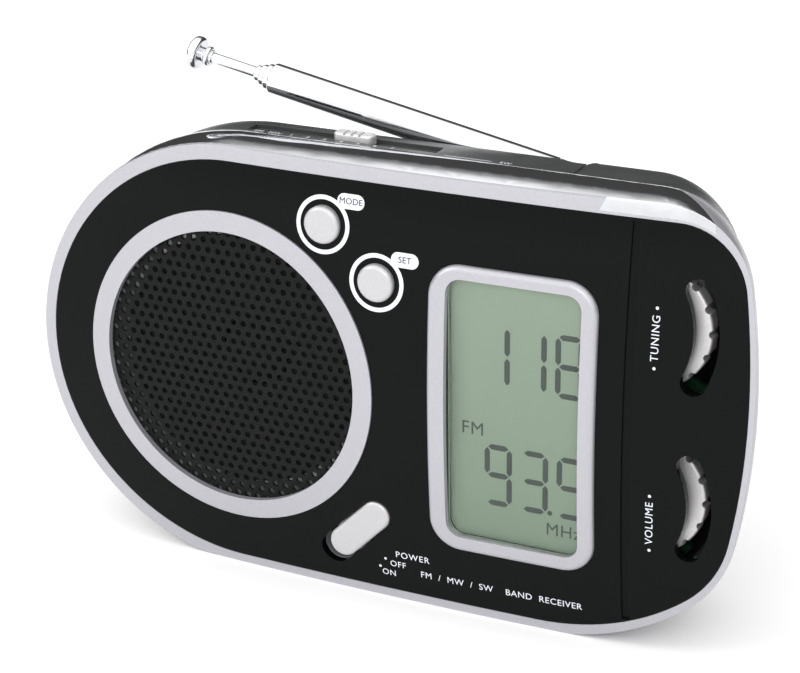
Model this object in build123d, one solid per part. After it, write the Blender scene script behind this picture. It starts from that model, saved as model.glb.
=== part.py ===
from build123d import *
import os
from math import atan2, cos, hypot, pi, radians, sin, sqrt

os.makedirs("parts", exist_ok=True)

# A pocket shortwave receiver that stands upright. Millimetres.
# Working frame: X to the right, Y to the back, Z up, with the zero on the axis of the round
# loudspeaker, in the plane of the face's rim. Every part is moved to the base at the end.

# ---- driving dimensions -------------------------------------------------------------
face_radius = 36.0          # left end of the black face, also half its height
face_reach = 90.8           # furthest right point of the black face
edge_radius = 116.0         # bulge of the right edge
edge_z = 8.0
corner_radius = 11.5        # top right corner
sweep_x, sweep_z, sweep_radius = 56.05, 4.0, 40.0   # long curve at the bottom right
sweep_corner = 20.0

crown_x = 35.9              # the face is crowned both ways, highest here
crown_front = -4.861
crown_major, crown_minor = 613.0, 237.0

rim_grow, rim_reach = 1.5, 91.7      # front edge of the silver frame
parting_y, parting_grow, parting_reach = 8.5, 2.3, 87.3
rear_depth, rear_pull, rear_slope = 14.5, 9.0, 0.45
wall = 1.7
base_z = -37.6              # flat that the set stands on
place = Pos(-27.4, -9.0, -base_z)

face_thick = 1.5
plate_front, plate_back = 1.6, 3.2   # front plate of the frame, behind the face

ring_outer, ring_inner, ring_proud = 27.6, 24.16, 0.35
grille_radius, grille_front, grille_back = 25.1, 0.75, 1.25

bezel_x, bezel_w, bezel_h, bezel_r, bezel_proud = 52.0, 28.8, 50.0, 5.5, 0.9
window_x, window_z, window_w, window_h, window_r = 52.35, 0.3, 23.0, 45.1, 2.6
collar = 0.8
lcd_w, lcd_h, lcd_front, lcd_thick = 24.6, 46.7, -2.7, 1.6

button_radius, button_proud, button_gap = 3.2, 1.0, 0.07
mode_x, mode_z = 18.3, 28.1
set_x, set_z = 28.3, 19.9

wheel_x, wheel_radius, wheel_front, wheel_thick = 73.4, 10.4, -0.4, 2.6
tuning_z, volume_z = 18.5, -10.1
wheel_teeth, wheel_notch = 16, 0.65
slot_x, slot_radius, slot_width, slot_half = 67.2, 16.35, 4.1, 26.5   # bent slot over each wheel
shaft_radius, running_gap = 2.0, 0.06

seam_x, seam_w, seam_deep = 71.5, 1.4, 0.45

power_x, power_z, power_angle = 23.35, -25.9, 45.0
power_slot, power_length, power_width, power_offset = 17.0, 13.6, 5.2, 1.45

board_front, board_back = 3.6, 4.8
switch_top = 2.9
jack_y, jack_z, jack_nose, jack_bore = 14.5, -12.0, 2.9, 1.8
supply_z, supply_nose, supply_bore = 10.0, 3.6, 2.75
ferrite_y, ferrite_z, ferrite_radius = 9.4, 28.6, 3.9

band_x, band_y, band_left, band_right = 17.0, 11.6, -1.5, 31.5

pivot_x, pivot_y, pivot_z, raise_angle = 55.7, 19.0, 33.2, 11.2
shelf_gap, shelf_wall = 3.2, 0.8    # shelf under and in front of the stowed antenna
swivel_room, neck_radius = 4.6, 2.2  # room for the antenna's turning base, and its neck
top_seam = 57.0                     # joint across the top of the back
tube_radii = [2.7, 2.25, 1.85, 1.4]
tube_bores = [2.3, 1.9, 1.45, 1.0]
tube_ends = [59.1, 60.2, 61.3, 62.4]
tube_start, inner_length = 6.9, 50.0
rod_radius, rod_start, rod_end = 0.95, 18.0, 71.0

cell_radius, cell_length, cell_y = 7.1, 49.5, 13.15
cell_z = [2.0, -12.9]
bay_left, bay_right, bay_low, bay_high, bay_front = 21.7, 75.8, -20.9, 9.9, 6.0
door_edge = 19.5
door_gap = 0.15

screw_places = [(-22.3, 22.3), (-22.3, -22.3), (62.6, 26.8), (60.0, -29.0)]


# ---- shapes -------------------------------------------------------------------------
def write(shape, node):
    """Move a finished part to the row frame and write it."""
    export_step(place * shape, "parts/" + node + ".step")


def prism(sketch, y0, y1):
    """A sketch of the face, as a solid from y0 back to y1."""
    return extrude(Plane.XZ.offset(-y1) * sketch, amount=y1 - y0)


def rod(x, z, radius, y0, y1):
    """A cylinder along Y."""
    return prism(Pos(x, z) * Circle(radius), y0, y1)


def block(x0, x1, y0, y1, z0, z1):
    """A box between two corners."""
    return Pos((x0 + x1) / 2, (y0 + y1) / 2, (z0 + z1) / 2) * Box(x1 - x0, y1 - y0, z1 - z0)


def behind(depth):
    """Everything further back than the crowned face, moved back by depth."""
    centre_y = crown_front + crown_major + crown_minor
    return Pos(crown_x, centre_y, 0) * Torus(crown_major, crown_minor - depth)


def crown(x, z):
    """Y of the crowned face at one place."""
    across = crown_major + sqrt(crown_minor ** 2 - z ** 2)
    return crown_front + crown_major + crown_minor - sqrt(across ** 2 - (x - crown_x) ** 2)


def circle_crossing(x1, z1, r1, x2, z2, r2):
    """The lower of the two points where circle 1 meets circle 2, which is to its left."""
    dx, dz = x2 - x1, z2 - z1
    gap = hypot(dx, dz)
    along = (gap ** 2 + r1 ** 2 - r2 ** 2) / (2 * gap)
    aside = sqrt(r1 ** 2 - along ** 2)
    return x1 + (along * dx - aside * dz) / gap, z1 + (along * dz + aside * dx) / gap


def outline(grow, reach):
    """Outline of the set, grown all round, with its right end moved so that it ends at reach."""
    radius = face_radius + grow
    sweep = sweep_radius + grow
    bulge = edge_radius + grow
    shift = reach - face_reach - grow
    edge_x = reach - bulge
    turn_x = sweep_x + shift
    top_right = (edge_x + sqrt(bulge ** 2 - (radius - edge_z) ** 2), radius)
    low_right = circle_crossing(turn_x, sweep_z, sweep, edge_x, edge_z, bulge)
    mid = (atan2(low_right[1] - sweep_z, low_right[0] - turn_x) - pi / 2) / 2
    sweep_mid = (turn_x + sweep * cos(mid), sweep_z + sweep * sin(mid))
    edges = [
        Line((0, radius), top_right),
        ThreePointArc(top_right, (reach, edge_z), low_right),
        ThreePointArc(low_right, sweep_mid, (turn_x, -radius)),
        Line((turn_x, -radius), (0, -radius)),
        ThreePointArc((0, -radius), (-radius, 0), (0, radius)),
    ]
    face = make_face(edges)
    corner = face.vertices().sort_by_distance(top_right)[0]
    face = fillet(corner, corner_radius + grow)
    corner = face.vertices().sort_by_distance(low_right)[0]
    return fillet(corner, sweep_corner + grow)


def skin(stations):
    """A smooth solid through outlines given as (y, grow, reach)."""
    return loft([Plane.XZ.offset(-y) * outline(grow, reach) for y, grow, reach in stations])


def rear_station(turn, inset, depth):
    """One outline of the pillow-shaped back, at an angle round its edge."""
    along = sin(radians(turn))
    y = parting_y + depth * along
    pull = rear_pull * (1 - sqrt(1 - along ** 4))
    reach = parting_reach - inset - rear_slope * (y - parting_y) - pull
    return y, parting_grow - inset - pull, reach


def floor_cut():
    """All that lies below the flat base."""
    return block(-60, 120, -20, 40, base_z - 20, base_z)


def frame_skin(inset=0.0, front=-3.4):
    """Outside of the front frame, a full round between the face and the parting line."""
    stations = [
        (front, rim_grow - inset, rim_reach - inset),
        (-1.2, 2.3 - inset, 91.6 - inset),
        (3.4, 3.2 - inset, 90.0 - inset),
        (parting_y, parting_grow - inset, parting_reach - inset),
    ]
    return skin(stations) - floor_cut()


def rear_skin():
    return skin([rear_station(turn, 0.0, rear_depth) for turn in (0, 22, 44, 62, 78)]) - floor_cut()


def rear_cavity(inset=wall):
    stations = [rear_station(turn, inset, rear_depth - inset) for turn in (0, 22, 44, 62, 78)]
    return skin(stations)


def wheel_slot(z, grow=0.0):
    """The bent finger slot over a thumbwheel, with round ends."""
    middle = CenterArc((slot_x, z), slot_radius, -slot_half, 2 * slot_half)
    return SlotArc(middle, slot_width + grow)


def bezel_shape(gap=0.0):
    return Pos(bezel_x, 0) * RectangleRounded(bezel_w + gap, bezel_h + gap, bezel_r)


def window(w, h, r):
    return Pos(window_x, window_z) * RectangleRounded(w, h, r)


# ---- casing -------------------------------------------------------------------------
def chrome_trim():
    """Bright strip on the frame's top and left, running to a point at both ends."""
    strip = frame_skin() & behind(0.5)
    strip -= frame_skin(inset=1.1, front=-6.0)
    lid = frame_skin() & (behind(0.0) - behind(1.0))
    lid -= prism(outline(0.45, face_reach + 0.3), -10, 10)
    lid &= Pos(75.5, 0, 30) * Rot(0, 24, 0) * Box(24, 40, 30)
    trim = strip + lid
    right_end = Plane((72.7, parting_y, 0), x_dir=(0, 0, 1), z_dir=(9.9, 11.8, 0))
    left_end = Plane((0, 8.0, -12.0), x_dir=(1, 0, 0), z_dir=(0, -16.0, -10.0))
    trim = split(trim, bisect_by=right_end, keep=Keep.BOTTOM)
    trim = split(trim, bisect_by=left_end, keep=Keep.BOTTOM)
    trim &= block(-60, 120, -20, parting_y - 0.5, -30, 60)
    return trim


def case_post(x, z, y0, y1):
    return rod(x, z, 2.6, y0, y1)


def plate_openings():
    """Everything that shows through the frame's front plate, as one sketch."""
    holes = [Circle(23.6), window(lcd_w + 0.8, lcd_h + 0.8, 1.0)]
    for x, z in ((mode_x, mode_z), (set_x, set_z)):
        holes.append(Pos(x, z) * Circle(button_radius + button_gap))
    for z in (tuning_z, volume_z):
        holes += [Pos(wheel_x, z) * Circle(wheel_radius + 0.4), wheel_slot(z, 1.0)]
    holes.append(power_place(power_slot, power_width + 0.4))
    return Sketch() + holes


def front_frame(trim):
    frame = frame_skin() & behind(0.0)
    frame -= prism(outline(0.0, face_reach), -10, 10) - behind(plate_front)
    cavity = skin([(-3.0, -0.9, 88.6), (3.4, 0.6, 87.4), (parting_y + 0.5, 0.5, 85.3)])
    frame -= cavity & behind(plate_back)
    frame -= prism(plate_openings(), -10, 3.3)
    seat = (rod(0, 0, 25.9, -3.4, 0.9) & behind(plate_front)) - rod(0, 0, 23.6, -10, 2)
    frame += seat
    posts = Part() + [case_post(x, z, -1.0, parting_y - 0.1) for x, z in screw_places]
    posts &= behind(plate_front)
    posts -= Part() + [rod(x, z, 0.95, 2.5, parting_y + 1) for x, z in screw_places]
    return frame + posts - trim


def fascia_panel():
    openings = [Circle(ring_outer + 0.05), bezel_shape(0.1)]
    for x, z in ((mode_x, mode_z), (set_x, set_z)):
        openings.append(Pos(x, z) * Circle(button_radius + button_gap))
    openings += [wheel_slot(tuning_z), wheel_slot(volume_z)]
    openings.append(power_place(power_slot, power_width + 0.4))
    face = prism(outline(-0.08, face_reach - 0.08), -10, 6)
    face = (face & behind(0.0)) - behind(face_thick)
    face -= prism(Sketch() + openings, -10, 5)
    seam = prism(Pos(seam_x, 1.5) * Rectangle(seam_w, 68.0), -10, 5)
    return face - (seam - behind(seam_deep))


def antenna_shelf(room):
    """The long step on the back's upper edge where the antenna is stowed."""
    reach = shelf_gap + room
    return block(-60, 120, pivot_y - reach, 30, pivot_z - reach, 50)


def swivel_bore():
    """Round pocket and bore for the antenna's turning base."""
    pocket = Pos(pivot_x, pivot_y, pivot_z + 1) * Cylinder(swivel_room, 10)
    bore = Pos(pivot_x, pivot_y, pivot_z - 7.6) * Cylinder(neck_radius + running_gap, 20)
    return pocket + bore + Pos(pivot_x, pivot_y, pivot_z - 12.7) * Cylinder(2.8, 2.2)


def top_region():
    """The strip of the back that is the top panel, in front of the antenna."""
    return block(-60, 120, 0, pivot_y - shelf_gap, pivot_z - shelf_gap - shelf_wall, 50)


def door_region(gap):
    """The block of the back that the battery door takes."""
    return block(bay_left + gap, 100, door_edge, 30, bay_low + gap, bay_high - gap)


def back_moulding(outer):
    """The whole back, before it is parted into the shell and the top panel."""
    shell = outer - rear_cavity()
    boss = Pos(pivot_x, pivot_y, pivot_z - 7.6) * Cylinder(swivel_room, 8)
    boss += Pos(pivot_x, pivot_y, pivot_z + 2) * Cylinder(swivel_room + shelf_wall, 12.2)
    shell += (antenna_shelf(shelf_wall) + boss) & outer
    for x, z in screw_places:
        shell += case_post(x, z, parting_y, 22) & outer
    shell -= antenna_shelf(0.0)
    shell -= swivel_bore()
    for x, z in screw_places:
        shell -= rod(x, z, 1.1, 0, 30)
        shell -= rod(x, z, 2.1, 18.0, 30)
    shell -= block(band_left, band_right, band_y - 1.1, band_y + 1.1, 30, 45)
    shell -= block(band_left - 1, band_right + 1, band_y - 1.5, band_y + 1.5, 37.4, 45)
    shell -= door_region(0.0)
    for z, radius in ((jack_z, jack_nose + 0.1), (supply_z, supply_nose + 0.1)):
        shell -= Pos(-35, jack_y, z) * Rot(0, 90, 0) * Cylinder(radius, 20)
    return shell


def battery_door(outer):
    door = outer & door_region(door_gap)
    door -= rear_cavity(1.5)
    grips = [block(60 + 2.2 * n, 61 + 2.2 * n, 22.3, 30, -14, 0) for n in range(5)]
    for grip in grips:
        door -= grip
    return door


def battery_tray():
    tray = block(bay_left - 1.2, bay_right + 1.0, bay_front - 0.8, 20.7, bay_low - 1.2, bay_high + 1.2)
    tray -= block(bay_left, bay_right, bay_front, 30, bay_low, bay_high)
    room = rear_cavity() + prism(outline(0.3, 85.0), 4, parting_y)
    return tray & room


# ---- loudspeaker --------------------------------------------------------------------
def turned(points):
    """A closed profile of (radius, y) points, turned round the loudspeaker's axis."""
    return revolve(make_face(Polyline(points, close=True)), axis=Axis.Y)


def speaker_ring():
    front = Circle(ring_outer) - Circle(ring_inner)
    collar_ring = Circle(ring_outer) - Circle(grille_radius + 0.05)
    lip = prism(front, -10, 5) & (behind(-ring_proud) - behind(grille_front))
    return lip + (prism(collar_ring, -10, 5) & (behind(grille_front) - behind(plate_front)))


def grille():
    """Thin sheet over the loudspeaker, crowned like the face. Its fine holes are left out here."""
    return prism(Circle(grille_radius), -10, 5) & (behind(grille_front) - behind(grille_back))


def speaker():
    write(turned([(22.4, 0.9), (25.2, 0.9), (25.2, 1.9), (22.9, 1.9), (12.0, 8.0), (12.0, 8.8),
                  (4.6, 8.8), (4.6, 8.0), (11.4, 8.0), (22.4, 1.7)]), "speaker_basket")
    write(turned([(22.3, 0.9), (22.3, 1.5), (21.3, 1.7), (6.3, 6.6), (6.3, 6.0), (21.3, 1.0)]),
          "speaker_cone")
    cap = Pos(0, 9.6, 0) * (Sphere(6.9) - Sphere(6.4)) & rod(0, 0, 6.2, 0, 6.6)
    write(cap, "speaker_dust_cap")
    coil = prism(Circle(4.4) - Circle(4.0), 6.7, 11.0)
    write(coil, "voice_coil")
    magnet = prism(Circle(11.0) - Circle(5.6), 8.8, 13.0)
    write(magnet, "speaker_magnet")
    yoke = rod(0, 0, 11.0, 13.0, 14.2) + rod(0, 0, 3.8, 8.4, 13.5)
    write(yoke, "speaker_yoke")


# ---- display ------------------------------------------------------------------------
def lcd_bezel():
    body = prism(bezel_shape(), -10, 5) & (behind(-bezel_proud) - behind(plate_front))
    front = body.edges().sort_by(Axis.Y)[:8]
    body = soften(body, front, (1.0, 0.7, 0.4))
    neck = window(window_w + 2 * collar, window_h + 2 * collar, window_r + collar)
    body += prism(neck, -4.0, lcd_front - 0.1) & behind(plate_front - 0.3)
    body -= prism(window(lcd_w + 0.3, lcd_h + 0.3, 0.7), lcd_front - 0.1, 5)
    return body - prism(window(window_w, window_h, window_r), -10, 5)


def soften(body, edges, radii):
    """Round edges with the largest radius that the shape takes."""
    for radius in radii:
        try:
            rounded = fillet(edges, radius)
            if rounded.is_valid:
                return rounded
        except Exception:
            pass
    return body


def display():
    write(lcd_bezel(), "lcd_bezel")
    pane = prism(window(window_w - 0.1, window_h - 0.1, window_r), lcd_front - 1.2, lcd_front - 0.5)
    write(pane, "lcd_window")
    back = lcd_front + lcd_thick
    write(prism(window(lcd_w, lcd_h, 0.6), lcd_front, back), "lcd_panel")
    tray = prism(window(lcd_w - 4.2, lcd_h - 5.0, 0.6), back, board_front)
    write(tray, "lcd_backlight")
    strips = Sketch()
    for side in (-1, 1):
        strips += Pos(window_x, window_z + side * (lcd_h / 2 - 1.2)) * Rectangle(lcd_w - 4.2, 2.0)
    write(prism(strips, back, board_front), "lcd_connector_strips")


# ---- controls -----------------------------------------------------------------------
def push_button(x, z):
    """Domed cap with a flange behind the frame's plate and a short stem."""
    face_y = crown(x, z)
    flange_y = face_y + plate_back + 0.95
    cap = rod(x, z, button_radius, face_y - button_proud, flange_y)
    rim = cap.edges().sort_by(Axis.Y)[0]
    cap = fillet(rim, 0.7)
    return cap + rod(x, z, 4.3, flange_y, flange_y + 0.7) + rod(x, z, 1.4, flange_y + 0.7, switch_top - 0.9)


def tact_switches():
    parts = []
    for x, z in ((mode_x, mode_z), (set_x, set_z)):
        parts.append(block(x - 2.6, x + 2.6, switch_top + 0.2, board_front, z - 2.6, z + 2.6))
        parts.append(rod(x, z, 1.5, switch_top, switch_top + 0.2))
    return Part() + parts


def power_place(length, width, shift=0.0):
    """A stadium lying along the power switch's travel."""
    along = radians(power_angle)
    x = power_x + shift * cos(along)
    z = power_z + shift * sin(along)
    return Pos(x, z) * Rot(0, 0, power_angle) * SlotOverall(length, width)


def power_knob():
    top = crown(power_x, power_z) - 0.9
    flange_y = crown(power_x, power_z) + plate_back + 0.6
    body = prism(power_place(power_length, power_width, power_offset), top, flange_y)
    body = soften(body, body.edges().sort_by(Axis.Y)[:4], (0.6, 0.4))
    body += prism(power_place(power_length + 1.0, power_width + 2.4, power_offset), flange_y, flange_y + 0.7)
    return body + prism(power_place(2.4, 1.6, power_offset), flange_y + 0.7, 2.6)


def power_switch():
    body = prism(power_place(12.0, 6.0), 1.9, board_front)
    return body - prism(power_place(7.2, 2.4), 0, 2.9)


def thumbwheel(z):
    """Notched disc that turns behind its bent slot."""
    back = wheel_front + wheel_thick
    disc = rod(wheel_x, z, wheel_radius, wheel_front, back)
    disc = soften(disc, disc.edges().sort_by(Axis.Y)[:1], (0.4,))
    notch = Circle(wheel_notch)
    ring = [Pos(wheel_x, z) * Rot(0, 0, 360 / wheel_teeth * n) * Pos(wheel_radius, 0) * notch
            for n in range(wheel_teeth)]
    disc -= prism(Sketch() + ring, -1, 3)
    disc -= rod(wheel_x, z, 2.3, -1, wheel_front + 1.0)
    return disc - rod(wheel_x, z, shaft_radius, -1, 3)


def wheel_shaft(z, end):
    shaft = rod(wheel_x, z, shaft_radius, wheel_front + 1.0, end)
    return shaft - rod(wheel_x, z, 0.8, 0, 4.5)


def wheel_screw(z):
    head = rod(wheel_x, z, 2.0, wheel_front + 0.1, wheel_front + 1.0)
    head -= prism(Pos(wheel_x, z) * Rectangle(0.5, 3.0), 0, wheel_front + 0.5)
    return head + rod(wheel_x, z, 0.8, wheel_front + 1.0, 4.3)


def tuning_capacitor():
    body = block(wheel_x - 7.5, wheel_x + 7.0, board_back, 12.4, tuning_z - 7.1, tuning_z + 7.5)
    return body - rod(wheel_x, tuning_z, shaft_radius + running_gap, 0, 11.2)


def volume_control():
    body = rod(wheel_x, volume_z, 8.0, wheel_front + wheel_thick + 0.35, board_front)
    return body - rod(wheel_x, volume_z, shaft_radius + running_gap, 0, 5)


def controls():
    write(push_button(mode_x, mode_z), "mode_button")
    write(push_button(set_x, set_z), "set_button")
    write(tact_switches(), "tact_switches")
    write(power_knob(), "power_knob")
    write(power_switch(), "power_switch")
    write(thumbwheel(tuning_z), "tuning_wheel")
    write(thumbwheel(volume_z), "volume_wheel")
    write(wheel_shaft(tuning_z, 11.0), "tuning_shaft")
    write(wheel_shaft(volume_z, 4.7), "volume_shaft")
    write(wheel_screw(tuning_z), "tuning_screw")
    write(wheel_screw(volume_z), "volume_screw")
    write(tuning_capacitor(), "tuning_capacitor")
    write(volume_control(), "volume_control")
    write(band_knob(), "band_knob")
    write(band_switch(), "band_switch")


def band_knob():
    grip = block(band_x - 3.6, band_x + 3.6, band_y - 1.4, band_y + 1.4, 37.75, 39.4)
    grip = fillet(grip.edges().filter_by(Axis.Z), 1.0)
    grip = fillet(grip.faces().sort_by(Axis.Z)[-1].edges(), 0.4)
    ribs = [block(band_x - 1.65 + 1.4 * n, band_x - 1.15 + 1.4 * n, 0, 20, 39.1, 41) for n in range(3)]
    for rib in ribs:
        grip -= rib
    return grip + block(band_x - 1.5, band_x + 1.5, band_y - 0.8, band_y + 0.8, 34.6, 37.9)


def band_switch():
    body = block(band_left - 2.5, band_right + 2.5, band_y - 1.7, band_y + 1.7, 32.8, 35.0)
    return body - block(band_left, band_right, band_y - 1.1, band_y + 1.1, 33.8, 40)


# ---- electronics --------------------------------------------------------------------
def main_board():
    board = prism(outline(-1.6, 84.5), board_front, board_back)
    board &= block(4.0, 100, 0, 10, -60, 60)
    board -= rod(0, 0, 26.6, 0, 10)
    for x, z in screw_places:
        board -= rod(x, z, 3.0, 0, 10)
    for z in (tuning_z, volume_z):
        board -= rod(wheel_x, z, 2.5, 0, 10)
        board -= prism(wheel_slot(z, 2.0), 0, 10)
    return board


def electronics():
    write(main_board(), "main_board")
    cans = [block(31 + 8 * n, 37 + 8 * n, board_back, board_back + 7.5, 18.5, 24.5) for n in range(4)]
    write(Part() + cans, "tuning_coils")
    chip = block(33, 49, board_back, board_back + 2.0, 11.6, 17.0)
    write(chip, "radio_chip")
    places = ((54.0, 14.5), (59.2, 14.5), (50.5, 30.0))
    drums = [rod(x, z, 2.4, board_back, board_back + 6.5) for x, z in places]
    write(Part() + drums, "electrolytic_capacitors")
    bar = Pos(20, ferrite_y, ferrite_z) * Rot(0, 90, 0)
    write(bar * Cylinder(ferrite_radius - 0.6, 52), "ferrite_rod")
    coil = bar * Pos(0, 0, 10) * (Cylinder(ferrite_radius, 14) - Cylinder(ferrite_radius - 0.6, 14))
    write(coil, "ferrite_coil")
    write(jack(jack_z, jack_nose, jack_bore, 3.4, 13.0), "earphone_jack")
    socket = jack(supply_z, supply_nose, supply_bore, 4.2, 11.0)
    pin = Pos(-27.6, jack_y, supply_z) * Rot(0, 90, 0) * Cylinder(0.65, 11.0)
    write(socket + pin, "supply_jack")


def jack(z, nose, bore, half, length):
    """Panel socket in the left end of the case, its mouth facing left."""
    edge = -sqrt((face_radius + 1.5) ** 2 - (abs(z) + nose) ** 2)
    body = block(edge + 5.0, edge + 5.0 + length, jack_y - half, jack_y + half, z - half, z + half)
    axis = Pos(edge + 2.9, jack_y, z) * Rot(0, 90, 0)
    body += axis * Cylinder(nose, 4.6)
    return body - axis * Cylinder(bore, 2 * length - 4.0)


def cell(z, flip):
    """A round battery lying along X, its raised contact on the right unless flipped."""
    side = -1 if flip else 1
    end = bay_right - 0.7 if side > 0 else bay_left + 0.6
    turn = Rot(0, 90 * side, 0)
    body = Pos(end - side * (1.0 + cell_length / 2), cell_y, z) * turn * Cylinder(cell_radius, cell_length)
    body = fillet(body.edges(), 0.6)
    return body + Pos(end - side * 0.6, cell_y, z) * turn * Cylinder(2.7, 1.2)


def battery_spring(z, flip):
    side = -1 if flip else 1
    start = bay_left + 0.6 if side > 0 else bay_right - 0.7
    path = Helix(pitch=0.55, height=1.65, radius=3.0)
    wire = sweep(Plane(path @ 0, z_dir=path % 0) * Circle(0.24), path=path)
    return Pos(start + side * 0.3, cell_y, z) * Rot(0, 90 * side, 0) * wire


def power():
    write(cell(cell_z[0], False), "battery_upper")
    write(cell(cell_z[1], True), "battery_lower")
    write(battery_spring(cell_z[0], False), "battery_spring_upper")
    write(battery_spring(cell_z[1], True), "battery_spring_lower")
    span = (bay_low + 2, bay_high - 2)
    right = block(bay_right - 0.7, bay_right - 0.2, 8, 16, *span)
    write(right, "battery_link_plate")
    left = [block(bay_left + 0.1, bay_left + 0.6, 8, 17, z - 5.5, z + 5.5) for z in cell_z]
    write(Part() + left, "battery_contact_plates")
    write(battery_tray(), "battery_tray")


# ---- antenna ------------------------------------------------------------------------
pivot = Pos(pivot_x, pivot_y, pivot_z)
raised = pivot * Rot(0, raise_angle, 0) * Rot(0, -90, 0)


def tube(radius, bore, start, end):
    """One section of the antenna, along its own axis away from the pivot."""
    body = Pos(0, 0, (start + end) / 2) * Cylinder(radius, end - start)
    body = fillet(body.edges().sort_by(Axis.Z)[-1], radius - bore - 0.05)
    return body - Pos(0, 0, (start + end) / 2) * Cylinder(bore, end - start + 1)


def antenna_swivel():
    """Turning base: neck in the case, a disc, and two ears for the pivot pin."""
    neck = Pos(0, 0, -7.8) * Cylinder(neck_radius, 7.7)
    disc = Pos(0, 0, -3.3) * Cylinder(4.2, 1.3)
    ears = Pos(0, 0, -1.4) * Box(5.6, 6.1, 2.8) + Rot(90, 0, 0) * Cylinder(2.8, 6.1)
    ears -= Pos(0, 0, 0.4) * Box(12, 2.9, 6.2)
    base = neck + disc + ears
    base -= Rot(90, 0, 0) * Cylinder(0.9, 10)
    return pivot * (base - Pos(0, 0, -9.6) * Cylinder(0.9, 5))


def antenna():
    write(antenna_swivel(), "antenna_swivel")
    screw = Pos(0, 0, -12.45) * Cylinder(2.5, 1.5) + Pos(0, 0, -9.6) * Cylinder(0.9, 4.6)
    write(pivot * screw, "swivel_screw")
    pin = pivot * Rot(90, 0, 0)
    rivet = pin * Cylinder(0.9, 6.1)
    for side in (-1, 1):
        rivet += pin * Pos(0, 0, side * 3.3) * Cylinder(1.6, 0.5)
    write(rivet, "pivot_rivet")
    tongue = Rot(0, 90, 0) * Rot(90, 0, 0) * Cylinder(2.5, 2.8) + Pos(0, 0, 3.2) * Box(4.2, 2.8, 6.4)
    tongue -= Rot(90, 0, 0) * Cylinder(0.9 + running_gap, 8)
    plug = Pos(0, 0, 7.9) * Cylinder(tube_bores[0], 3.2) + Pos(0, 0, 6.35) * Cylinder(tube_radii[0], 0.9)
    write(raised * (tongue + plug), "antenna_knuckle")
    starts = [tube_start - 0.1] + [end - inner_length for end in tube_ends[1:]]
    for n, (radius, bore, start, end) in enumerate(zip(tube_radii, tube_bores, starts, tube_ends)):
        write(raised * tube(radius, bore, start, end), "antenna_section_" + str(n + 1))
    whip = Pos(0, 0, (rod_start + rod_end) / 2) * Cylinder(rod_radius, rod_end - rod_start)
    write(raised * whip, "antenna_rod")
    disc = Pos(0, 0, rod_end + 3.2) * Cylinder(2.9, 1.9)
    disc = fillet(disc.edges().filter_by(GeomType.CIRCLE), 0.8)
    neck = Pos(0, 0, rod_end + 1.4) * Cylinder(1.25, 2.8)
    ring = Pos(0, 0, rod_end + 0.9) * Cylinder(1.75, 1.0)
    ring = fillet(ring.edges().filter_by(GeomType.CIRCLE), 0.4)
    write(raised * (disc + neck + ring), "antenna_tip")


# ---- fasteners ----------------------------------------------------------------------
def case_screw(x, z):
    head = rod(x, z, 1.9, 18.0, 19.4)
    for turn in (0, 90):
        head -= prism(Pos(x, z) * Rot(0, 0, turn) * Rectangle(2.4, 0.5), 18.8, 20)
    return head + rod(x, z, 0.95, 3.5, 18.0)


def casing():
    trim = chrome_trim()
    write(trim, "chrome_trim")
    write(front_frame(trim), "front_frame")
    write(fascia_panel(), "fascia_panel")
    outer = rear_skin()
    back = back_moulding(outer)
    write(back - top_region(), "rear_shell")
    panel = back & top_region()
    write(panel - block(top_seam - 0.15, top_seam + 0.15, 0, 30, 37.8, 45), "top_panel")
    write(battery_door(outer), "battery_door")
    write(Part() + [case_screw(x, z) for x, z in screw_places], "case_screws")
    write(speaker_ring(), "speaker_ring")
    write(grille(), "speaker_grille")


casing()
speaker()
display()
controls()
electronics()
power()
antenna()
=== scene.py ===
import math

import bmesh
import bpy
from mathutils import Matrix, Vector
from mathutils.bvhtree import BVHTree

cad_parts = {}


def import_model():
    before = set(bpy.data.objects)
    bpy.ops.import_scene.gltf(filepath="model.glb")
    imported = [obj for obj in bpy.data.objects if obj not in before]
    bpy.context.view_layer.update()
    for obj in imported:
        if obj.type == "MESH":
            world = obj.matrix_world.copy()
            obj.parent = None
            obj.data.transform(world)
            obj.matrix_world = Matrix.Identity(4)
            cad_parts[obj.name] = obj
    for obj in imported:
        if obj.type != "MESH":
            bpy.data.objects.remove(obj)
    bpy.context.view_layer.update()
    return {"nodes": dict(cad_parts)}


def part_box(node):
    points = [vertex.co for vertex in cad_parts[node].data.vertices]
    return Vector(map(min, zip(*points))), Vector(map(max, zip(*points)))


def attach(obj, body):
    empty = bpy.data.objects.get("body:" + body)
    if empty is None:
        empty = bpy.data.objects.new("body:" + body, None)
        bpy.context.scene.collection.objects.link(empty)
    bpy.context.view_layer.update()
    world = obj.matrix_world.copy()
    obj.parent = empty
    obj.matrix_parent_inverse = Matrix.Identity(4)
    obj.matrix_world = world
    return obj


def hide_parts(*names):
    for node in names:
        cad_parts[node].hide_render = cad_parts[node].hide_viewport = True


# A pocket shortwave receiver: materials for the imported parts, the perforated grille,
# the printed legends, the display's segments, and the studio. Lengths are in metres.
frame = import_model()

MM = 0.001
PRINT_LIFT = 0.03 * MM          # printed ink stands this far off its surface
PRINT_THICK = 0.02 * MM
RAY_REACH = 60 * MM             # from this far out, printing is dropped onto a surface
WELL_SHADE_RADIUS = 13.2 * MM         # painted shade covers the plate this far round a finger wheel's axis
WALL_SHADE_DEPTH = 1.05 * MM           # painted shade covers the bezel's walls from this far below its rim
FADE = 0.2 * MM                 # length over which painted shade fades in at its edge
CROWN_MAJOR, CROWN_MINOR = 613 * MM, 237 * MM       # radii of the crowned face, across and up
CROWN_X = 35.9 * MM             # the crown's highest line, from the loudspeaker's axis
POLISH = (0.0022, 0.0036, 0.0030)                   # polished black
LACQUER = (0.44, 0.437, 0.47), (0.39, 0.387, 0.42)  # silver lacquer, light and dark flakes


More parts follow.
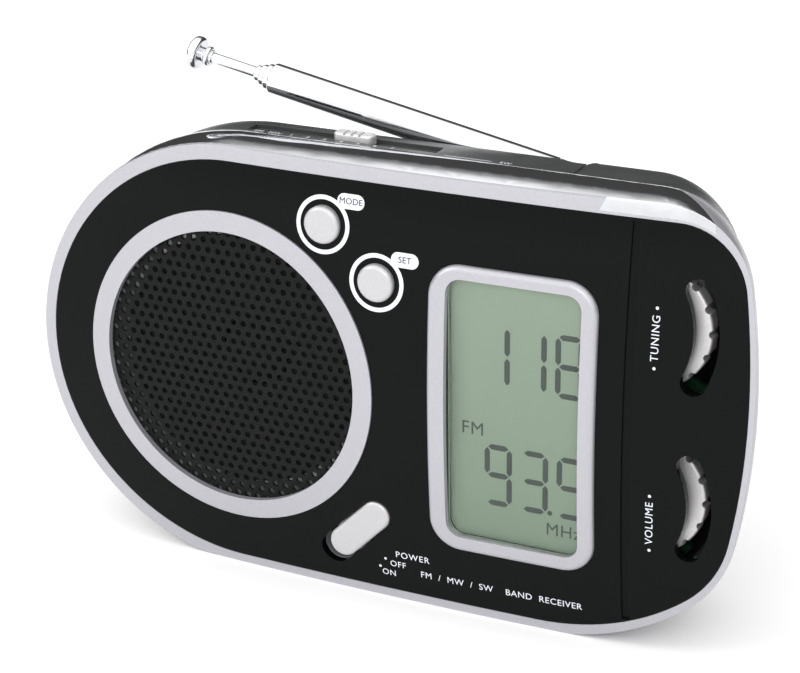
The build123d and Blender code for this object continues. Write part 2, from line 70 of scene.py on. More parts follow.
def middle(node):
    low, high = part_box(node)
    return (low + high) / 2


SPEAKER = middle("speaker_grille")


# ---- node helpers --------------------------------------------------------------------
def shader(name, color, roughness, metallic=0.0, specular=0.5):
    """A new Principled material and its main nodes."""
    material = bpy.data.materials.new(name)
    material.use_nodes = True
    tree = material.node_tree
    principled = tree.nodes["Principled BSDF"]
    principled.inputs["Base Color"].default_value = (*color, 1)
    principled.inputs["Roughness"].default_value = roughness
    principled.inputs["Metallic"].default_value = metallic
    principled.inputs["Specular IOR Level"].default_value = specular
    return material, tree, principled


def noise(tree, scale, detail=4.0, stretch=(1, 1, 1)):
    """Noise in the object's own space; scale is in features per metre."""
    place = tree.nodes.new("ShaderNodeTexCoord")
    mapping = tree.nodes.new("ShaderNodeMapping")
    mapping.inputs["Scale"].default_value = [scale * s for s in stretch]
    texture = tree.nodes.new("ShaderNodeTexNoise")
    texture.inputs["Scale"].default_value = 1.0
    texture.inputs["Detail"].default_value = detail
    tree.links.new(place.outputs["Object"], mapping.inputs["Vector"])
    tree.links.new(mapping.outputs["Vector"], texture.inputs["Vector"])
    return texture.outputs["Fac"]


def cells(tree, scale):
    """Small random cells, as metal flakes or a moulded grain have."""
    place = tree.nodes.new("ShaderNodeTexCoord")
    texture = tree.nodes.new("ShaderNodeTexVoronoi")
    texture.inputs["Scale"].default_value = scale
    tree.links.new(place.outputs["Object"], texture.inputs["Vector"])
    return texture


def ramp(tree, source, stops):
    """Colours or greys along a 0 to 1 value."""
    node = tree.nodes.new("ShaderNodeValToRGB")
    elements = node.color_ramp.elements
    while len(elements) < len(stops):
        elements.new(0.5)
    for element, (position, color) in zip(elements, stops):
        element.position = position
        element.color = (*color, 1) if isinstance(color, tuple) else (color, color, color, 1)
    tree.links.new(source, node.inputs["Fac"])
    return node.outputs["Color"]


def relief(tree, principled, height, depth, strength=1.0, edge=0.0):
    """Bump of a given depth, over edges that are rounded by the edge radius."""
    bump = tree.nodes.new("ShaderNodeBump")
    bump.inputs["Distance"].default_value = depth
    bump.inputs["Strength"].default_value = strength
    tree.links.new(height, bump.inputs["Height"])
    if edge:
        bevel = tree.nodes.new("ShaderNodeBevel")
        bevel.samples = 4
        bevel.inputs["Radius"].default_value = edge
        tree.links.new(bevel.outputs["Normal"], bump.inputs["Normal"])
    tree.links.new(bump.outputs["Normal"], principled.inputs["Normal"])
    return bump


def drive(tree, source, socket):
    tree.links.new(source, socket)


def axes(tree):
    """The object's own X, Y and Z as separate values."""
    place = tree.nodes.new("ShaderNodeTexCoord")
    parts = tree.nodes.new("ShaderNodeSeparateXYZ")
    tree.links.new(place.outputs["Object"], parts.inputs[0])
    return parts.outputs


def span(tree, source, start, end):
    """0 to 1 as a value goes from start to end."""
    node = tree.nodes.new("ShaderNodeMapRange")
    node.inputs["From Min"].default_value = start
    node.inputs["From Max"].default_value = end
    tree.links.new(source, node.inputs["Value"])
    return node.outputs["Result"]


def sums(tree, operation, first, second):
    """One step of arithmetic; the second term is a socket or a number."""
    node = tree.nodes.new("ShaderNodeMath")
    node.operation = operation
    tree.links.new(first, node.inputs[0])
    if isinstance(second, float):
        node.inputs[1].default_value = second
    else:
        tree.links.new(second, node.inputs[1])
    return node.outputs[0]


def painted_over(tree, below, mask, color):
    """A colour laid over another one where the mask is 1."""
    mix = tree.nodes.new("ShaderNodeMix")
    mix.data_type = "RGBA"
    tree.links.new(mask, mix.inputs["Factor"])
    tree.links.new(below, mix.inputs["A"])
    mix.inputs["B"].default_value = (*color, 1)
    return mix.outputs["Result"]


# ---- materials -----------------------------------------------------------------------
def silver_paint(name, light, dark, roughness=0.34, edge=0.12 * MM):
    """Silver lacquer on plastic: fine flakes, slight cloudiness, rubbed edges."""
    material, tree, principled = shader(name, light, roughness, metallic=0.55)
    flakes = cells(tree, 7000)
    drive(tree, ramp(tree, flakes.outputs["Color"], [(0.1, dark), (0.8, light)]),
          principled.inputs["Base Color"])
    clouds = noise(tree, 160, 5)
    drive(tree, ramp(tree, clouds, [(0.3, roughness - 0.05), (0.7, roughness + 0.07)]),
          principled.inputs["Roughness"])
    relief(tree, principled, noise(tree, 2600, 3), 0.012 * MM, 0.5, edge)
    return material


def chrome(name, tint=(0.66, 0.67, 0.69), roughness=0.05, along=(1, 1, 1)):
    """Plated metal with hairline rub marks and faint fingerprints."""
    material, tree, principled = shader(name, tint, roughness, metallic=1.0)
    smears = noise(tree, 260, 6, along)
    rubbed = [(0.42, roughness), (0.62, roughness + 0.05), (0.8, roughness + 0.12)]
    drive(tree, ramp(tree, smears, rubbed), principled.inputs["Roughness"])
    relief(tree, principled, noise(tree, 1400, 2, along), 0.004 * MM, 0.35, 0.08 * MM)
    return material


def gloss_black():
    """Polished black plastic with light wipe marks and a few dust specks."""
    material, tree, principled = shader("gloss_black", POLISH, 0.07, specular=0.09)
    wipes = noise(tree, 90, 7, (1.0, 1.0, 2.4))
    drive(tree, ramp(tree, wipes, [(0.35, 0.055), (0.6, 0.09), (0.78, 0.17)]),
          principled.inputs["Roughness"])
    specks = cells(tree, 420)
    drive(tree, ramp(tree, specks.outputs["Distance"], [(0.0, (0.03, 0.03, 0.03)), (0.045, POLISH)]),
          principled.inputs["Base Color"])
    relief(tree, principled, noise(tree, 240, 2), 0.006 * MM, 0.5, 0.22 * MM)
    return material


def moulded(name, base, lighter, roughness, grain=0.02 * MM, edge=0.15 * MM, scale=2600):
    """Moulded plastic with a fine spark-eroded grain and rubbed patches."""
    material, tree, principled = shader(name, base, roughness)
    patches = noise(tree, 75, 6)
    drive(tree, ramp(tree, patches, [(0.32, base), (0.75, lighter)]), principled.inputs["Base Color"])
    drive(tree, ramp(tree, noise(tree, 210, 4), [(0.3, roughness - 0.08), (0.7, roughness + 0.08)]),
          principled.inputs["Roughness"])
    relief(tree, principled, cells(tree, scale).outputs["Distance"], grain, 0.6, edge)
    return material


def brushed(name, color, roughness=0.28, stretch=(1, 1, 1)):
    """Bare machined metal with drawn lines and slight stains."""
    material, tree, principled = shader(name, color, roughness, metallic=1.0)
    lines = noise(tree, 1500, 4, stretch)
    drive(tree, ramp(tree, lines, [(0.3, roughness - 0.06), (0.7, roughness + 0.14)]),
          principled.inputs["Roughness"])
    darker = tuple(0.72 * c for c in color)
    drive(tree, ramp(tree, noise(tree, 190, 5), [(0.35, darker), (0.6, color)]),
          principled.inputs["Base Color"])
    relief(tree, principled, lines, 0.006 * MM, 0.5, 0.06 * MM)
    return material


def mesh_paint():
    """Black stove enamel on the punched steel grille."""
    material, tree, principled = shader("mesh_paint", (0.0035, 0.0042, 0.0040), 0.5, specular=0.12)
    patches = [(0.3, (0.0025, 0.0032, 0.0030)), (0.75, (0.006, 0.007, 0.0068))]
    drive(tree, ramp(tree, noise(tree, 900, 5), patches), principled.inputs["Base Color"])
    drive(tree, ramp(tree, noise(tree, 420, 4), [(0.3, 0.42), (0.7, 0.58)]),
          principled.inputs["Roughness"])
    relief(tree, principled, noise(tree, 5200, 3), 0.01 * MM, 0.6)
    return material


def paper_cone():
    """Pressed grey paper of the loudspeaker's cone."""
    material, tree, principled = shader("paper_cone_fibre", (0.035, 0.034, 0.032), 0.85, specular=0.2)
    fibres = noise(tree, 1500, 8, (1, 1, 3))
    drive(tree, ramp(tree, fibres, [(0.3, (0.02, 0.02, 0.019)), (0.75, (0.055, 0.053, 0.05))]),
          principled.inputs["Base Color"])
    relief(tree, principled, fibres, 0.05 * MM, 0.8)
    return material


def display_glass():
    """Grey-green reflective liquid crystal cell, with painted shade that is deepest at its foot and
    fades towards its top.
    """
    material, tree, principled = shader("display_glass", (0.38, 0.45, 0.37), 0.33, specular=0.35)
    low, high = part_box("lcd_panel")
    # painted shade: the green darkens from the top of the cell down to its foot
    shaded_greens = [(0.0, (0.235, 0.295, 0.23)), (0.25, (0.28, 0.345, 0.27)), (1.0, (0.34, 0.40, 0.325))]
    drive(tree, ramp(tree, span(tree, axes(tree)["Z"], low.z, high.z), shaded_greens),
          principled.inputs["Base Color"])
    drive(tree, ramp(tree, noise(tree, 3800, 3), [(0.3, 0.28), (0.7, 0.42)]),
          principled.inputs["Roughness"])
    relief(tree, principled, noise(tree, 5000, 2), 0.003 * MM, 0.4)
    return material


def window_pane():
    """Clear acrylic: see-through, with a glossy reflection that grows at grazing angles."""
    material = bpy.data.materials.new("window_pane")
    material.use_nodes = True
    tree = material.node_tree
    tree.nodes.remove(tree.nodes["Principled BSDF"])
    output = tree.nodes["Material Output"]
    clear = tree.nodes.new("ShaderNodeBsdfTransparent")
    clear.inputs["Color"].default_value = (0.95, 0.97, 0.955, 1)
    shine = tree.nodes.new("ShaderNodeBsdfGlossy")
    drive(tree, ramp(tree, noise(tree, 140, 6), [(0.4, 0.02), (0.75, 0.09)]),
          shine.inputs["Roughness"])
    mirror = tree.nodes.new("ShaderNodeFresnel")
    mirror.inputs["IOR"].default_value = 1.30
    mix = tree.nodes.new("ShaderNodeMixShader")
    tree.links.new(mirror.outputs["Fac"], mix.inputs[0])
    tree.links.new(clear.outputs[0], mix.inputs[1])
    tree.links.new(shine.outputs[0], mix.inputs[2])
    tree.links.new(mix.outputs[0], output.inputs["Surface"])
    return material


def ink(name, color, worn):
    """Screen-printed ink, thinner in places."""
    material, tree, principled = shader(name, color, 0.5, specular=0.3)
    drive(tree, ramp(tree, noise(tree, 5200, 4), [(0.28, worn), (0.42, color)]),
          principled.inputs["Base Color"])
    relief(tree, principled, noise(tree, 9000, 3), 0.004 * MM, 0.5)
    return material


def circuit_board():
    """Green solder mask with the copper tracks showing through."""
    material, tree, principled = shader("solder_mask", (0.02, 0.13, 0.05), 0.32)
    place = tree.nodes.new("ShaderNodeTexCoord")
    tracks = tree.nodes.new("ShaderNodeTexBrick")
    tracks.inputs["Scale"].default_value = 260
    tracks.inputs["Color1"].default_value = (0.004, 0.028, 0.011, 1)
    tracks.inputs["Color2"].default_value = (0.006, 0.036, 0.014, 1)
    tracks.inputs["Mortar"].default_value = (0.012, 0.050, 0.020, 1)
    turn = tree.nodes.new("ShaderNodeMapping")
    turn.inputs["Rotation"].default_value = (math.pi / 2, 0, 0)
    tree.links.new(place.outputs["Object"], turn.inputs["Vector"])
    tree.links.new(turn.outputs["Vector"], tracks.inputs["Vector"])
    drive(tree, tracks.outputs["Color"], principled.inputs["Base Color"])
    relief(tree, principled, tracks.outputs["Fac"], 0.02 * MM, 0.5, 0.05 * MM)
    return material


def windings():
    """Fine enamelled copper wire, wound round an X axis."""
    material, tree, principled = shader("copper_winding", (0.55, 0.20, 0.08), 0.3, metallic=0.85)
    place = tree.nodes.new("ShaderNodeTexCoord")
    turns = tree.nodes.new("ShaderNodeTexWave")
    turns.bands_direction = "X"
    turns.inputs["Scale"].default_value = 1300
    tree.links.new(place.outputs["Object"], turns.inputs["Vector"])
    enamel = [(0.1, (0.20, 0.06, 0.02)), (0.7, (0.62, 0.24, 0.10))]
    drive(tree, ramp(tree, turns.outputs["Fac"], enamel), principled.inputs["Base Color"])
    relief(tree, principled, turns.outputs["Fac"], 0.06 * MM, 0.8)
    return material


def cell_sleeve(low, high):
    """Printed battery sleeve from x = low, its flat end, to high: dark, then copper-coloured."""
    name = "cell_sleeve_" + str(round(high * 1e4))
    material, tree, principled = shader(name, (0.02, 0.05, 0.12), 0.28, metallic=0.35)
    bands = [(0.0, (0.52, 0.52, 0.52)), (0.02, (0.018, 0.045, 0.11)), (0.70, (0.02, 0.05, 0.12)),
             (0.705, (0.75, 0.75, 0.72)), (0.72, (0.60, 0.33, 0.12)), (0.975, (0.55, 0.30, 0.11)),
             (0.98, (0.60, 0.60, 0.60))]
    drive(tree, ramp(tree, span(tree, axes(tree)["X"], low, high), bands),
          principled.inputs["Base Color"])
    drive(tree, ramp(tree, noise(tree, 150, 5), [(0.3, 0.2), (0.7, 0.36)]),
          principled.inputs["Roughness"])
    relief(tree, principled, noise(tree, 900, 3), 0.01 * MM, 0.4)
    return material


silver = silver_paint("silver_lacquer", *LACQUER)
frame_silver = silver_paint("frame_lacquer", *LACQUER)
bezel_silver = silver_paint("bezel_lacquer", *LACQUER)
button_silver = silver_paint("button_lacquer", (0.52, 0.515, 0.53), (0.46, 0.455, 0.47), 0.38)
wheel_silver = silver_paint("wheel_lacquer", (0.66, 0.65, 0.65), (0.57, 0.56, 0.56), 0.36)
bright = chrome("bright_plating")
tube_chrome = chrome("tube_plating", (0.68, 0.69, 0.71), 0.04, (0.12, 1, 1))
black = gloss_black()
shell = moulded("shell_grain", (0.050, 0.051, 0.051), (0.078, 0.078, 0.077), 0.40)
top_skin = moulded("top_grain", (0.040, 0.042, 0.042), (0.058, 0.060, 0.060), 0.30)
tray = moulded("tray_plastic", (0.030, 0.031, 0.031), (0.045, 0.045, 0.045), 0.5)
part_black = moulded("component_plastic", (0.014, 0.014, 0.015), (0.028, 0.028, 0.028), 0.45,
                     grain=0.01 * MM)
part_white = moulded("ivory_plastic", (0.60, 0.59, 0.54), (0.70, 0.69, 0.64), 0.42, grain=0.01 * MM)
rubber = moulded("rubber_strip", (0.012, 0.012, 0.012), (0.022, 0.022, 0.022), 0.8)
ferrite = moulded("ferrite_stone", (0.035, 0.032, 0.034), (0.06, 0.056, 0.056), 0.7,
                  grain=0.03 * MM, scale=1800)
steel = brushed("pressed_steel", (0.58, 0.58, 0.57))
screw_steel = brushed("screw_steel", (0.50, 0.50, 0.50), 0.24)
brass = brushed("turned_brass", (0.72, 0.52, 0.24), 0.26, (1, 0.2, 1))
spring_steel = brushed("nickel_strip", (0.66, 0.65, 0.62), 0.22, (0.3, 1, 1))
white_ink = ink("white_ink", (0.68, 0.70, 0.76), (0.45, 0.47, 0.50))
black_ink = ink("black_ink", (0.012, 0.012, 0.014), (0.05, 0.05, 0.055))
segment_ink = ink("segment_tone", (0.055, 0.068, 0.062), (0.07, 0.085, 0.075))
cone_paper = paper_cone()

finishes = {
    "front_frame": frame_silver, "speaker_ring": silver, "lcd_bezel": bezel_silver,
    "mode_button": button_silver, "set_button": button_silver, "power_knob": button_silver,
    "tuning_wheel": wheel_silver, "volume_wheel": wheel_silver, "band_knob": wheel_silver,
    "chrome_trim": bright, "antenna_swivel": bright, "pivot_rivet": bright, "antenna_knuckle": bright,
    "antenna_tip": bright, "antenna_rod": tube_chrome,
    "antenna_section_1": tube_chrome, "antenna_section_2": tube_chrome,
    "antenna_section_3": tube_chrome, "antenna_section_4": tube_chrome,
    "fascia_panel": black, "rear_shell": shell, "top_panel": top_skin, "battery_door": shell,
    "battery_tray": tray,
    "speaker_cone": cone_paper, "speaker_dust_cap": cone_paper, "speaker_basket": steel,
    "speaker_yoke": steel, "speaker_magnet": ferrite, "voice_coil": windings(),
    "lcd_window": window_pane(), "lcd_panel": display_glass(), "lcd_backlight": part_white,
    "lcd_connector_strips": rubber, "tact_switches": steel, "power_switch": part_black,
    "tuning_capacitor": part_white, "volume_control": part_black, "band_switch": part_black,
    "tuning_shaft": brass, "volume_shaft": brass, "tuning_screw": screw_steel,
    "volume_screw": screw_steel, "swivel_screw": screw_steel, "case_screws": screw_steel,
    "main_board": circuit_board(), "tuning_coils": steel, "radio_chip": part_black,
    "electrolytic_capacitors": part_black, "ferrite_rod": ferrite, "ferrite_coil": windings(),
    "earphone_jack": part_black, "supply_jack": part_black, "battery_spring_upper": spring_steel,
    "battery_spring_lower": spring_steel, "battery_link_plate": spring_steel,
    "battery_contact_plates": spring_steel,
}
low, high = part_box("battery_upper")
finishes["battery_upper"] = cell_sleeve(low.x, high.x)
low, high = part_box("battery_lower")
finishes["battery_lower"] = cell_sleeve(high.x, low.x)

for node, material in finishes.items():
    mesh = frame["nodes"][node].data
    mesh.materials.clear()
    mesh.materials.append(material)


def shade_window_walls(material):
    """Painted shade: the walls of the display's window are coloured dark grey-green below the bezel's
    crowned rim.
    """
    tree = material.node_tree
    principled = tree.nodes["Principled BSDF"]
    place = axes(tree)
    depth = place["Y"]
    crown = (("X", SPEAKER.x + CROWN_X, CROWN_MAJOR + CROWN_MINOR), ("Z", SPEAKER.z, CROWN_MINOR))
    for axis, centre, radius in crown:      # the rim falls back along both axes as a parabola
        away = sums(tree, "SUBTRACT", place[axis], centre)
        fall = sums(tree, "DIVIDE", sums(tree, "MULTIPLY", away, away), 2 * radius)
        depth = sums(tree, "SUBTRACT", depth, fall)
    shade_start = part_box("lcd_bezel")[0].y + WALL_SHADE_DEPTH
    mask = span(tree, depth, shade_start - FADE / 2, shade_start + FADE / 2)
    silver_below = principled.inputs["Base Color"].links[0].from_socket
    # painted shade, dark grey-green, laid over the silver lacquer of the window's walls
    drive(tree, painted_over(tree, silver_below, mask, (0.022, 0.026, 0.024)),
          principled.inputs["Base Color"])


def shade_wheel_wells(material):
    """Painted shade: the frame's plate is coloured near-black round the finger wheels, where it lies in
    shade behind the slots.
    """
    tree = material.node_tree
    principled = tree.nodes["Principled BSDF"]
    place = tree.nodes.new("ShaderNodeTexCoord")
    flat = tree.nodes.new("ShaderNodeVectorMath")
    flat.operation = "MULTIPLY"
    flat.inputs[1].default_value = (1, 0, 1)
    tree.links.new(place.outputs["Object"], flat.inputs[0])
    color = principled.inputs["Base Color"].links[0].from_socket
    for node in ("tuning_wheel", "volume_wheel"):
        centre = middle(node)
        reach = tree.nodes.new("ShaderNodeVectorMath")
        reach.operation = "DISTANCE"
        reach.inputs[1].default_value = (centre.x, 0, centre.z)
        tree.links.new(flat.outputs[0], reach.inputs[0])
        mask = span(tree, reach.outputs["Value"], WELL_SHADE_RADIUS, WELL_SHADE_RADIUS - FADE)
        # painted shade, near-black, round each wheel's well
        color = painted_over(tree, color, mask, (0.006, 0.006, 0.006))
    drive(tree, color, principled.inputs["Base Color"])


shade_window_walls(bezel_silver)
shade_wheel_wells(frame_silver)


# ---- laying pieces on a surface ------------------------------------------------------
trees = {}


def surface(node):
    """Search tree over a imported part's mesh."""
    if node not in trees:
        mesh = frame["nodes"][node].data
        points = [v.co.copy() for v in mesh.vertices]
        trees[node] = BVHTree.FromPolygons(points, [tuple(p.vertices) for p in mesh.polygons])
    return trees[node]


def lay(mesh, node, centre, right, up, turn=0.0):
    """Drop a flat mesh (x right, y up, z out) onto a part, so that it follows the surface."""
    right, up = Vector(right), Vector(up)
    out = right.cross(up)
    c, s = math.cos(turn), math.sin(turn)
    for v in mesh.vertices:
        u, w = c * v.co.x - s * v.co.y, s * v.co.x + c * v.co.y
        start = Vector(centre) + right * u + up * w
        hit = surface(node).ray_cast(start + out * RAY_REACH, -out, 2 * RAY_REACH)[0]
        if hit is None:
            raise RuntimeError("nothing under " + mesh.name)
        v.co = hit + out * (PRINT_LIFT + v.co.z)


def piece(name, mesh, material, body="case"):
    """A new visible piece that moves with a body."""
    mesh.materials.clear()
    mesh.materials.append(material)
    mesh.update()
    made = bpy.data.objects.new(name, mesh)
    bpy.context.scene.collection.objects.link(made)
    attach(made, body)
    return made


def flat_mesh(name, outlines):
    """Closed thin plates from outlines of (x, y) points; an outline within another is a hole."""
    curve = bpy.data.curves.new(name, "CURVE")
    curve.dimensions = "2D"
    curve.fill_mode = "BOTH"
    curve.extrude = PRINT_THICK / 2
    for loop in outlines:
        spline = curve.splines.new("POLY")
        spline.points.add(len(loop) - 1)
        for point, (x, y) in zip(spline.points, loop):
            point.co = (x, y, 0, 1)
        spline.use_cyclic_u = True
    return to_mesh(name, curve)


def to_mesh(name, curve):
    """A curve's filled and extruded shape as a mesh of its own."""
    holder = bpy.data.objects.new(name + "_curve", curve)
    bpy.context.scene.collection.objects.link(holder)
    bpy.context.view_layer.update()
    made = bpy.data.meshes.new_from_object(holder.evaluated_get(bpy.context.evaluated_depsgraph_get()))
    bpy.data.objects.remove(holder)
    shape = bmesh.new()
    shape.from_mesh(made)
    bmesh.ops.remove_doubles(shape, verts=shape.verts, dist=1e-7)
    shape.to_mesh(made)
    shape.free()
    made.name = name
    return made


CAPITAL = 0.72      # height of a capital as a share of the type size


def words(name, text, size, spacing=1.08):
    """Lettering as a thin closed mesh, centred on zero; size is the height of a capital."""
    curve = bpy.data.curves.new(name, "FONT")
    curve.body = text
    curve.size = size / CAPITAL
    curve.align_x = "CENTER"
    curve.align_y = "CENTER"
    curve.space_character = spacing
    curve.extrude = PRINT_THICK / 2
    curve.resolution_u = 4
    return to_mesh(name, curve)


def circle(radius, count=96, x=0.0, y=0.0):
    angles = [2 * math.pi * n / count for n in range(count)]
    return [(x + radius * math.cos(a), y + radius * math.sin(a)) for a in angles]


def capsule(length, height, steps=16):
    """Outline of a pill lying along x."""
    radius = height / 2
    half = length / 2 - radius
    points = []
    for side in (1, -1):
        for n in range(steps + 1):
            angle = -math.pi / 2 + math.pi * n / steps + (0 if side > 0 else math.pi)
            points.append((side * half + radius * math.cos(angle), radius * math.sin(angle)))
    return points


FACE_RIGHT, FACE_UP = (1, 0, 0), (0, 0, 1)


def on_face(x, z):
    """A point of the face, in millimetres from the loudspeaker's axis."""
    return SPEAKER + Vector((x * MM, 0, z * MM))


def print_flat(name, mesh, x, z, turn=0.0):
    """White print on the black face, placed in millimetres from the loudspeaker's axis."""
    lay(mesh, "fascia_panel", on_face(x, z), FACE_RIGHT, FACE_UP, turn)
    piece(name, mesh, white_ink)


def print_words(name, text, x, z, size, spacing=1.08, turn=0.0):
    print_flat(name, words(name, text, size * MM, spacing), x, z, turn)


# ---- grille --------------------------------------------------------------------------
HOLE_PITCH, HOLE_RADIUS, HOLE_LIP = 1.95 * MM, 0.52 * MM, 0.13 * MM
GRILLE_THICK = 0.45 * MM


def crown_depth(x, z):
    """How far the crowned face falls back from its highest point."""
    across = CROWN_MAJOR + math.sqrt(CROWN_MINOR ** 2 - z ** 2)
    return CROWN_MAJOR + CROWN_MINOR - math.sqrt(across ** 2 - (x - CROWN_X) ** 2)


def grille_mesh():
    """Crowned sheet with a staggered pattern of round holes with rolled lips."""
    low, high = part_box("speaker_grille")
    rim = (high.x - low.x) / 2 - 0.04 * MM
    front = low.y - crown_depth(rim * 0.97, 0.0)
    shape = bmesh.new()
    rise = HOLE_PITCH * math.sqrt(3) / 2
    rows = int(rim / rise) + 1
    sides = 12

    def vertex(x, z, depth):
        reach = math.hypot(x, z)
        if reach > rim:
            x, z = x * rim / reach, z * rim / reach
        place = SPEAKER + Vector((x, 0, z))
        place.y = front + crown_depth(x, z) + depth
        return shape.verts.new(place)

    for row in range(-rows, rows + 1):
        for column in range(-rows - 2, rows + 3):
            x = (column + 0.5 * (row % 2)) * HOLE_PITCH
            z = row * rise
            if math.hypot(x, z) > rim + 0.2 * HOLE_PITCH:
                continue
            loops = []
            rings = [(None, 0.0), (HOLE_RADIUS + HOLE_LIP, 0.0),
                     (HOLE_RADIUS + 0.3 * HOLE_LIP, 0.3 * HOLE_LIP), (HOLE_RADIUS, HOLE_LIP),
                     (HOLE_RADIUS, GRILLE_THICK), (None, GRILLE_THICK)]
            for radius, depth in rings:
                loop = []
                for n in range(sides):
                    angle = 2 * math.pi * n / sides
                    reach = radius or HOLE_PITCH / 2 * (1 if n % 2 == 0 else 2 / math.sqrt(3))
                    loop.append(vertex(x + reach * math.cos(angle), z + reach * math.sin(angle),
                                       depth))
                loops.append(loop)
            for outer, inner in zip(loops, loops[1:]):
                for n in range(sides):
                    m = (n + 1) % sides
                    shape.faces.new((outer[n], outer[m], inner[m], inner[n]))
    bmesh.ops.remove_doubles(shape, verts=shape.verts, dist=0.02 * MM)
    bmesh.ops.dissolve_degenerate(shape, edges=shape.edges, dist=0.005 * MM)
    bmesh.ops.recalc_face_normals(shape, faces=shape.faces)
    mesh = bpy.data.meshes.new("grille_sheet")
    shape.to_mesh(mesh)
    shape.free()
    mesh.shade_smooth()
    return mesh


grille = piece("perforated_grille", grille_mesh(), mesh_paint())
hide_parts("speaker_grille")
grille.data.set_sharp_from_angle(angle=math.radians(50))


# ---- printing on the face ------------------------------------------------------------
def button_mark(node, text, name):
    """Printed ring round a push button, with its name on a pill at the upper right."""
    centre = middle(node) - SPEAKER
    x, z = centre.x / MM, centre.z / MM
    tag_x, tag_z = x + 4.95, z + 4.35
    ring = flat_mesh(name + "_ring", [circle(4.87 * MM), circle(4.14 * MM)])
    print_flat(name + "_ring", ring, x, z)
    tag = flat_mesh(name + "_tag", [capsule(4.9 * MM, 2.5 * MM)])
    print_flat(name + "_tag", tag, tag_x, tag_z)
    label = words(name + "_name", text, 1.05 * MM, spacing=1.04)
    for v in label.vertices:
        v.co.z += PRINT_THICK * 1.5
    lay(label, "fascia_panel", on_face(tag_x, tag_z), FACE_RIGHT, FACE_UP)
    piece(name + "_name", label, black_ink)


def dot(name, x, z, radius):
    print_flat(name, flat_mesh(name, [circle(radius * MM, 20)]), x, z)


button_mark("mode_button", "MODE", "mode")
button_mark("set_button", "SET", "set")
print_words("power_name", "POWER", 33.8, -28.75, 1.2, spacing=1.16)
print_words("off_name", "OFF", 31.0, -30.75, 1.15, spacing=1.12)
print_words("on_name", "ON", 29.2, -32.7, 1.15, spacing=1.12)
dot("off_dot", 28.7, -30.0, 0.24)
dot("on_dot", 27.6, -31.7, 0.24)
print_words("band_line", "FM  /  MW  /  SW    BAND  RECEIVER", 49.6, -31.75, 1.2)
WHEEL_TEXT_X, WHEEL_DOT_AWAY = 75.6, 4.85
for wheel, text, z in (("tuning", "TUNING", 17.7), ("volume", "VOLUME", -13.6)):
    print_words(wheel + "_name", text, WHEEL_TEXT_X, z, 1.3, turn=math.pi / 2, spacing=1.12)
    dot(wheel + "_dot_low", WHEEL_TEXT_X, z - WHEEL_DOT_AWAY, 0.26)
    dot(wheel + "_dot_high", WHEEL_TEXT_X, z + WHEEL_DOT_AWAY, 0.26)


# ---- display segments ----------------------------------------------------------------
SEGMENTS = {"1": "bc", "3": "abgcd", "5": "afgcd", "8": "abcdefg", "9": "abcdfg"}
DIGIT_W, DIGIT_H, DIGIT_PITCH = 3.9, 9.9, 6.3       # in millimetres
BAR, BAR_GAP = 0.95, 0.16


def bar(x0, z0, x1, z1):
    """A six-sided bar with pointed ends between two points, in millimetres."""
    along = Vector((x1 - x0, z1 - z0))
    side = Vector((-along.y, along.x)).normalized() * BAR / 2
    along.normalize()
    point = BAR * 0.62
    start, end = Vector((x0, z0)) + along * BAR_GAP, Vector((x1, z1)) - along * BAR_GAP
    corners = [start, start + along * point + side, end - along * point + side, end,
               end - along * point - side, start + along * point - side]
    return [(c.x * MM, c.y * MM) for c in corners]


def digit_bars(wanted, x, z):
    """The bars of one seven-segment digit whose lower left corner is at x, z."""
    w, h, m = DIGIT_W, DIGIT_H, DIGIT_H / 2
    ends = {"a": (0, h, w, h), "b": (w, m, w, h), "c": (w, 0, w, m), "d": (0, 0, w, 0),
            "e": (0, 0, 0, m), "f": (0, m, 0, h), "g": (0, m, w, m)}
    return [bar(x + ends[k][0], z + ends[k][1], x + ends[k][2], z + ends[k][3]) for k in wanted]


def show(name, mesh, x=0.0, z=0.0):
    """Dark segments on the display, placed in millimetres from the loudspeaker's axis."""
    lay(mesh, "lcd_panel", on_face(x, z), FACE_RIGHT, FACE_UP)
    piece(name, mesh, segment_ink)


def reading(name, text, x, z):
    """A row of digits, the first one's lower left corner at x, z."""
    lit = []
    for place, mark in enumerate(text):
        lit += digit_bars(SEGMENTS[mark], x + DIGIT_PITCH * place, z)
    show(name, flat_mesh(name, lit))


reading("clock_lit", "118", 46.8, 5.2)
reading("frequency_lit", "935", 47.3, -15.7)
point = circle(0.42 * MM, 20, 58.35 * MM, -15.65 * MM)
show("decimal_point", flat_mesh("decimal_point", [point]))
show("fm_sign", words("fm_sign", "FM", 2.3 * MM), 44.7, -3.2)
show("mhz_sign", words("mhz_sign", "MHz", 2.2 * MM), 60.7, -18.6)


# ---- legends on the case ---------------------------------------------------------------
BAND_SWITCH = middle("band_switch")
LEGEND_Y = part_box("top_panel")[0].y + 0.82 * MM
BAND_PITCH = 3.1 * MM


def print_top(name, mesh, x):
    """White print along the front edge of the top strip."""
    lay(mesh, "top_panel", Vector((x, LEGEND_Y, BAND_SWITCH.z)), (1, 0, 0), (0, 1, 0))
    piece(name, mesh, white_ink)


low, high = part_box("band_switch")
for place, text in enumerate(["FM", "MW", "1", "2", "3", "4", "5", "6", "7"]):
    name = "band_" + text.lower()
    print_top(name, words(name, text, 0.95 * MM), low.x + 4 * MM + place * BAND_PITCH)
print_top("band_sw", words("band_sw", "SW", 0.95 * MM), high.x + 11 * MM)
half_x, half_y = 4.2 * MM, 0.07 * MM
rule = [(-half_x, -half_y), (half_x, -half_y), (half_x, half_y), (-half_x, half_y)]
print_top("band_rule", flat_mesh("band_rule", [rule]), high.x + 4.4 * MM)


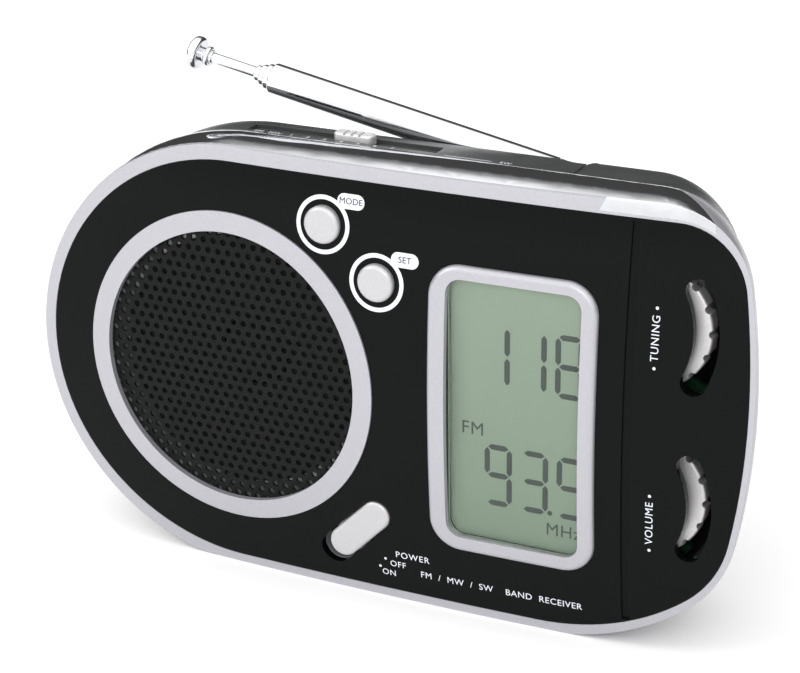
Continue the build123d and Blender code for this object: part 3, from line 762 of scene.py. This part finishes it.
# ---- studio --------------------------------------------------------------------------
def floor(size=6.0):
    """White paper, level with the receiver's foot."""
    mesh = bpy.data.meshes.new("floor")
    corners = [(-size, -size, 0), (size, -size, 0), (size, size, 0), (-size, size, 0)]
    mesh.from_pydata(corners, [], [(0, 1, 2, 3)])
    made = bpy.data.objects.new("floor", mesh)
    bpy.context.scene.collection.objects.link(made)
    material, tree, principled = shader("paper_floor", (0.93, 0.93, 0.93), 0.7, specular=0.1)
    whites = [(0.3, (0.92, 0.92, 0.918)), (0.7, (0.94, 0.94, 0.938))]
    drive(tree, ramp(tree, noise(tree, 3, 3), whites), principled.inputs["Base Color"])
    mesh.materials.append(material)


def softbox(name, place, target, width, height, power):
    light = bpy.data.lights.new(name, "AREA")
    light.shape = "RECTANGLE"
    light.size = width
    light.size_y = height
    light.energy = power
    made = bpy.data.objects.new(name, light)
    bpy.context.scene.collection.objects.link(made)
    made.location = place
    made.rotation_mode = "QUATERNION"
    made.rotation_quaternion = (Vector(target) - Vector(place)).to_track_quat("-Z", "Y")


def world():
    """A studio that is bright above and in front, and dark below and behind."""
    made = bpy.data.worlds.new("studio")
    bpy.context.scene.world = made
    made.use_nodes = True
    tree = made.node_tree
    place = tree.nodes.new("ShaderNodeTexCoord")
    lean = tree.nodes.new("ShaderNodeVectorMath")
    lean.operation = "DOT_PRODUCT"
    lean.inputs[1].default_value = (0.0, -0.25, 0.5)
    tree.links.new(place.outputs["Generated"], lean.inputs[0])
    lift = sums(tree, "ADD", lean.outputs["Value"], 0.5)
    tent = [(0.0, 0.03), (0.60, 0.05), (0.66, 0.30), (0.72, 1.0), (1.0, 1.0)]
    drive(tree, ramp(tree, lift, tent), tree.nodes["Background"].inputs["Color"])
    tree.nodes["Background"].inputs["Strength"].default_value = 1.6


def camera():
    """Placed to the right and above, looking back along the set."""
    place, turn, tilt, roll = (0.1583, -0.3255, 0.1867), 0.456, 0.377, -0.012
    right = Vector((math.cos(turn), math.sin(turn), 0))
    ahead = Vector((-math.sin(turn) * math.cos(tilt), math.cos(turn) * math.cos(tilt), -math.sin(tilt)))
    down = ahead.cross(right)
    c, s = math.cos(roll), math.sin(roll)
    across, below = c * right - s * down, s * right + c * down
    data = bpy.data.cameras.new("camera")
    data.sensor_width = 36.0
    data.lens = 104.44
    data.clip_start = 0.01
    data.clip_end = 50
    made = bpy.data.objects.new("camera", data)
    bpy.context.scene.collection.objects.link(made)
    basis = Matrix((across, -below, -ahead)).transposed()
    made.matrix_world = Matrix.Translation(place) @ basis.to_4x4()
    bpy.context.scene.camera = made


floor()
world()
camera()
softbox("left_box", (-0.65, -0.45, 0.55), (0.0, 0.0, 0.04), 0.5, 0.5, 1.6)
softbox("front_box", (0.25, -0.9, 0.6), (0.0, 0.0, 0.04), 0.7, 0.4, 2.0)
bpy.context.scene.view_settings.view_transform = "Standard"
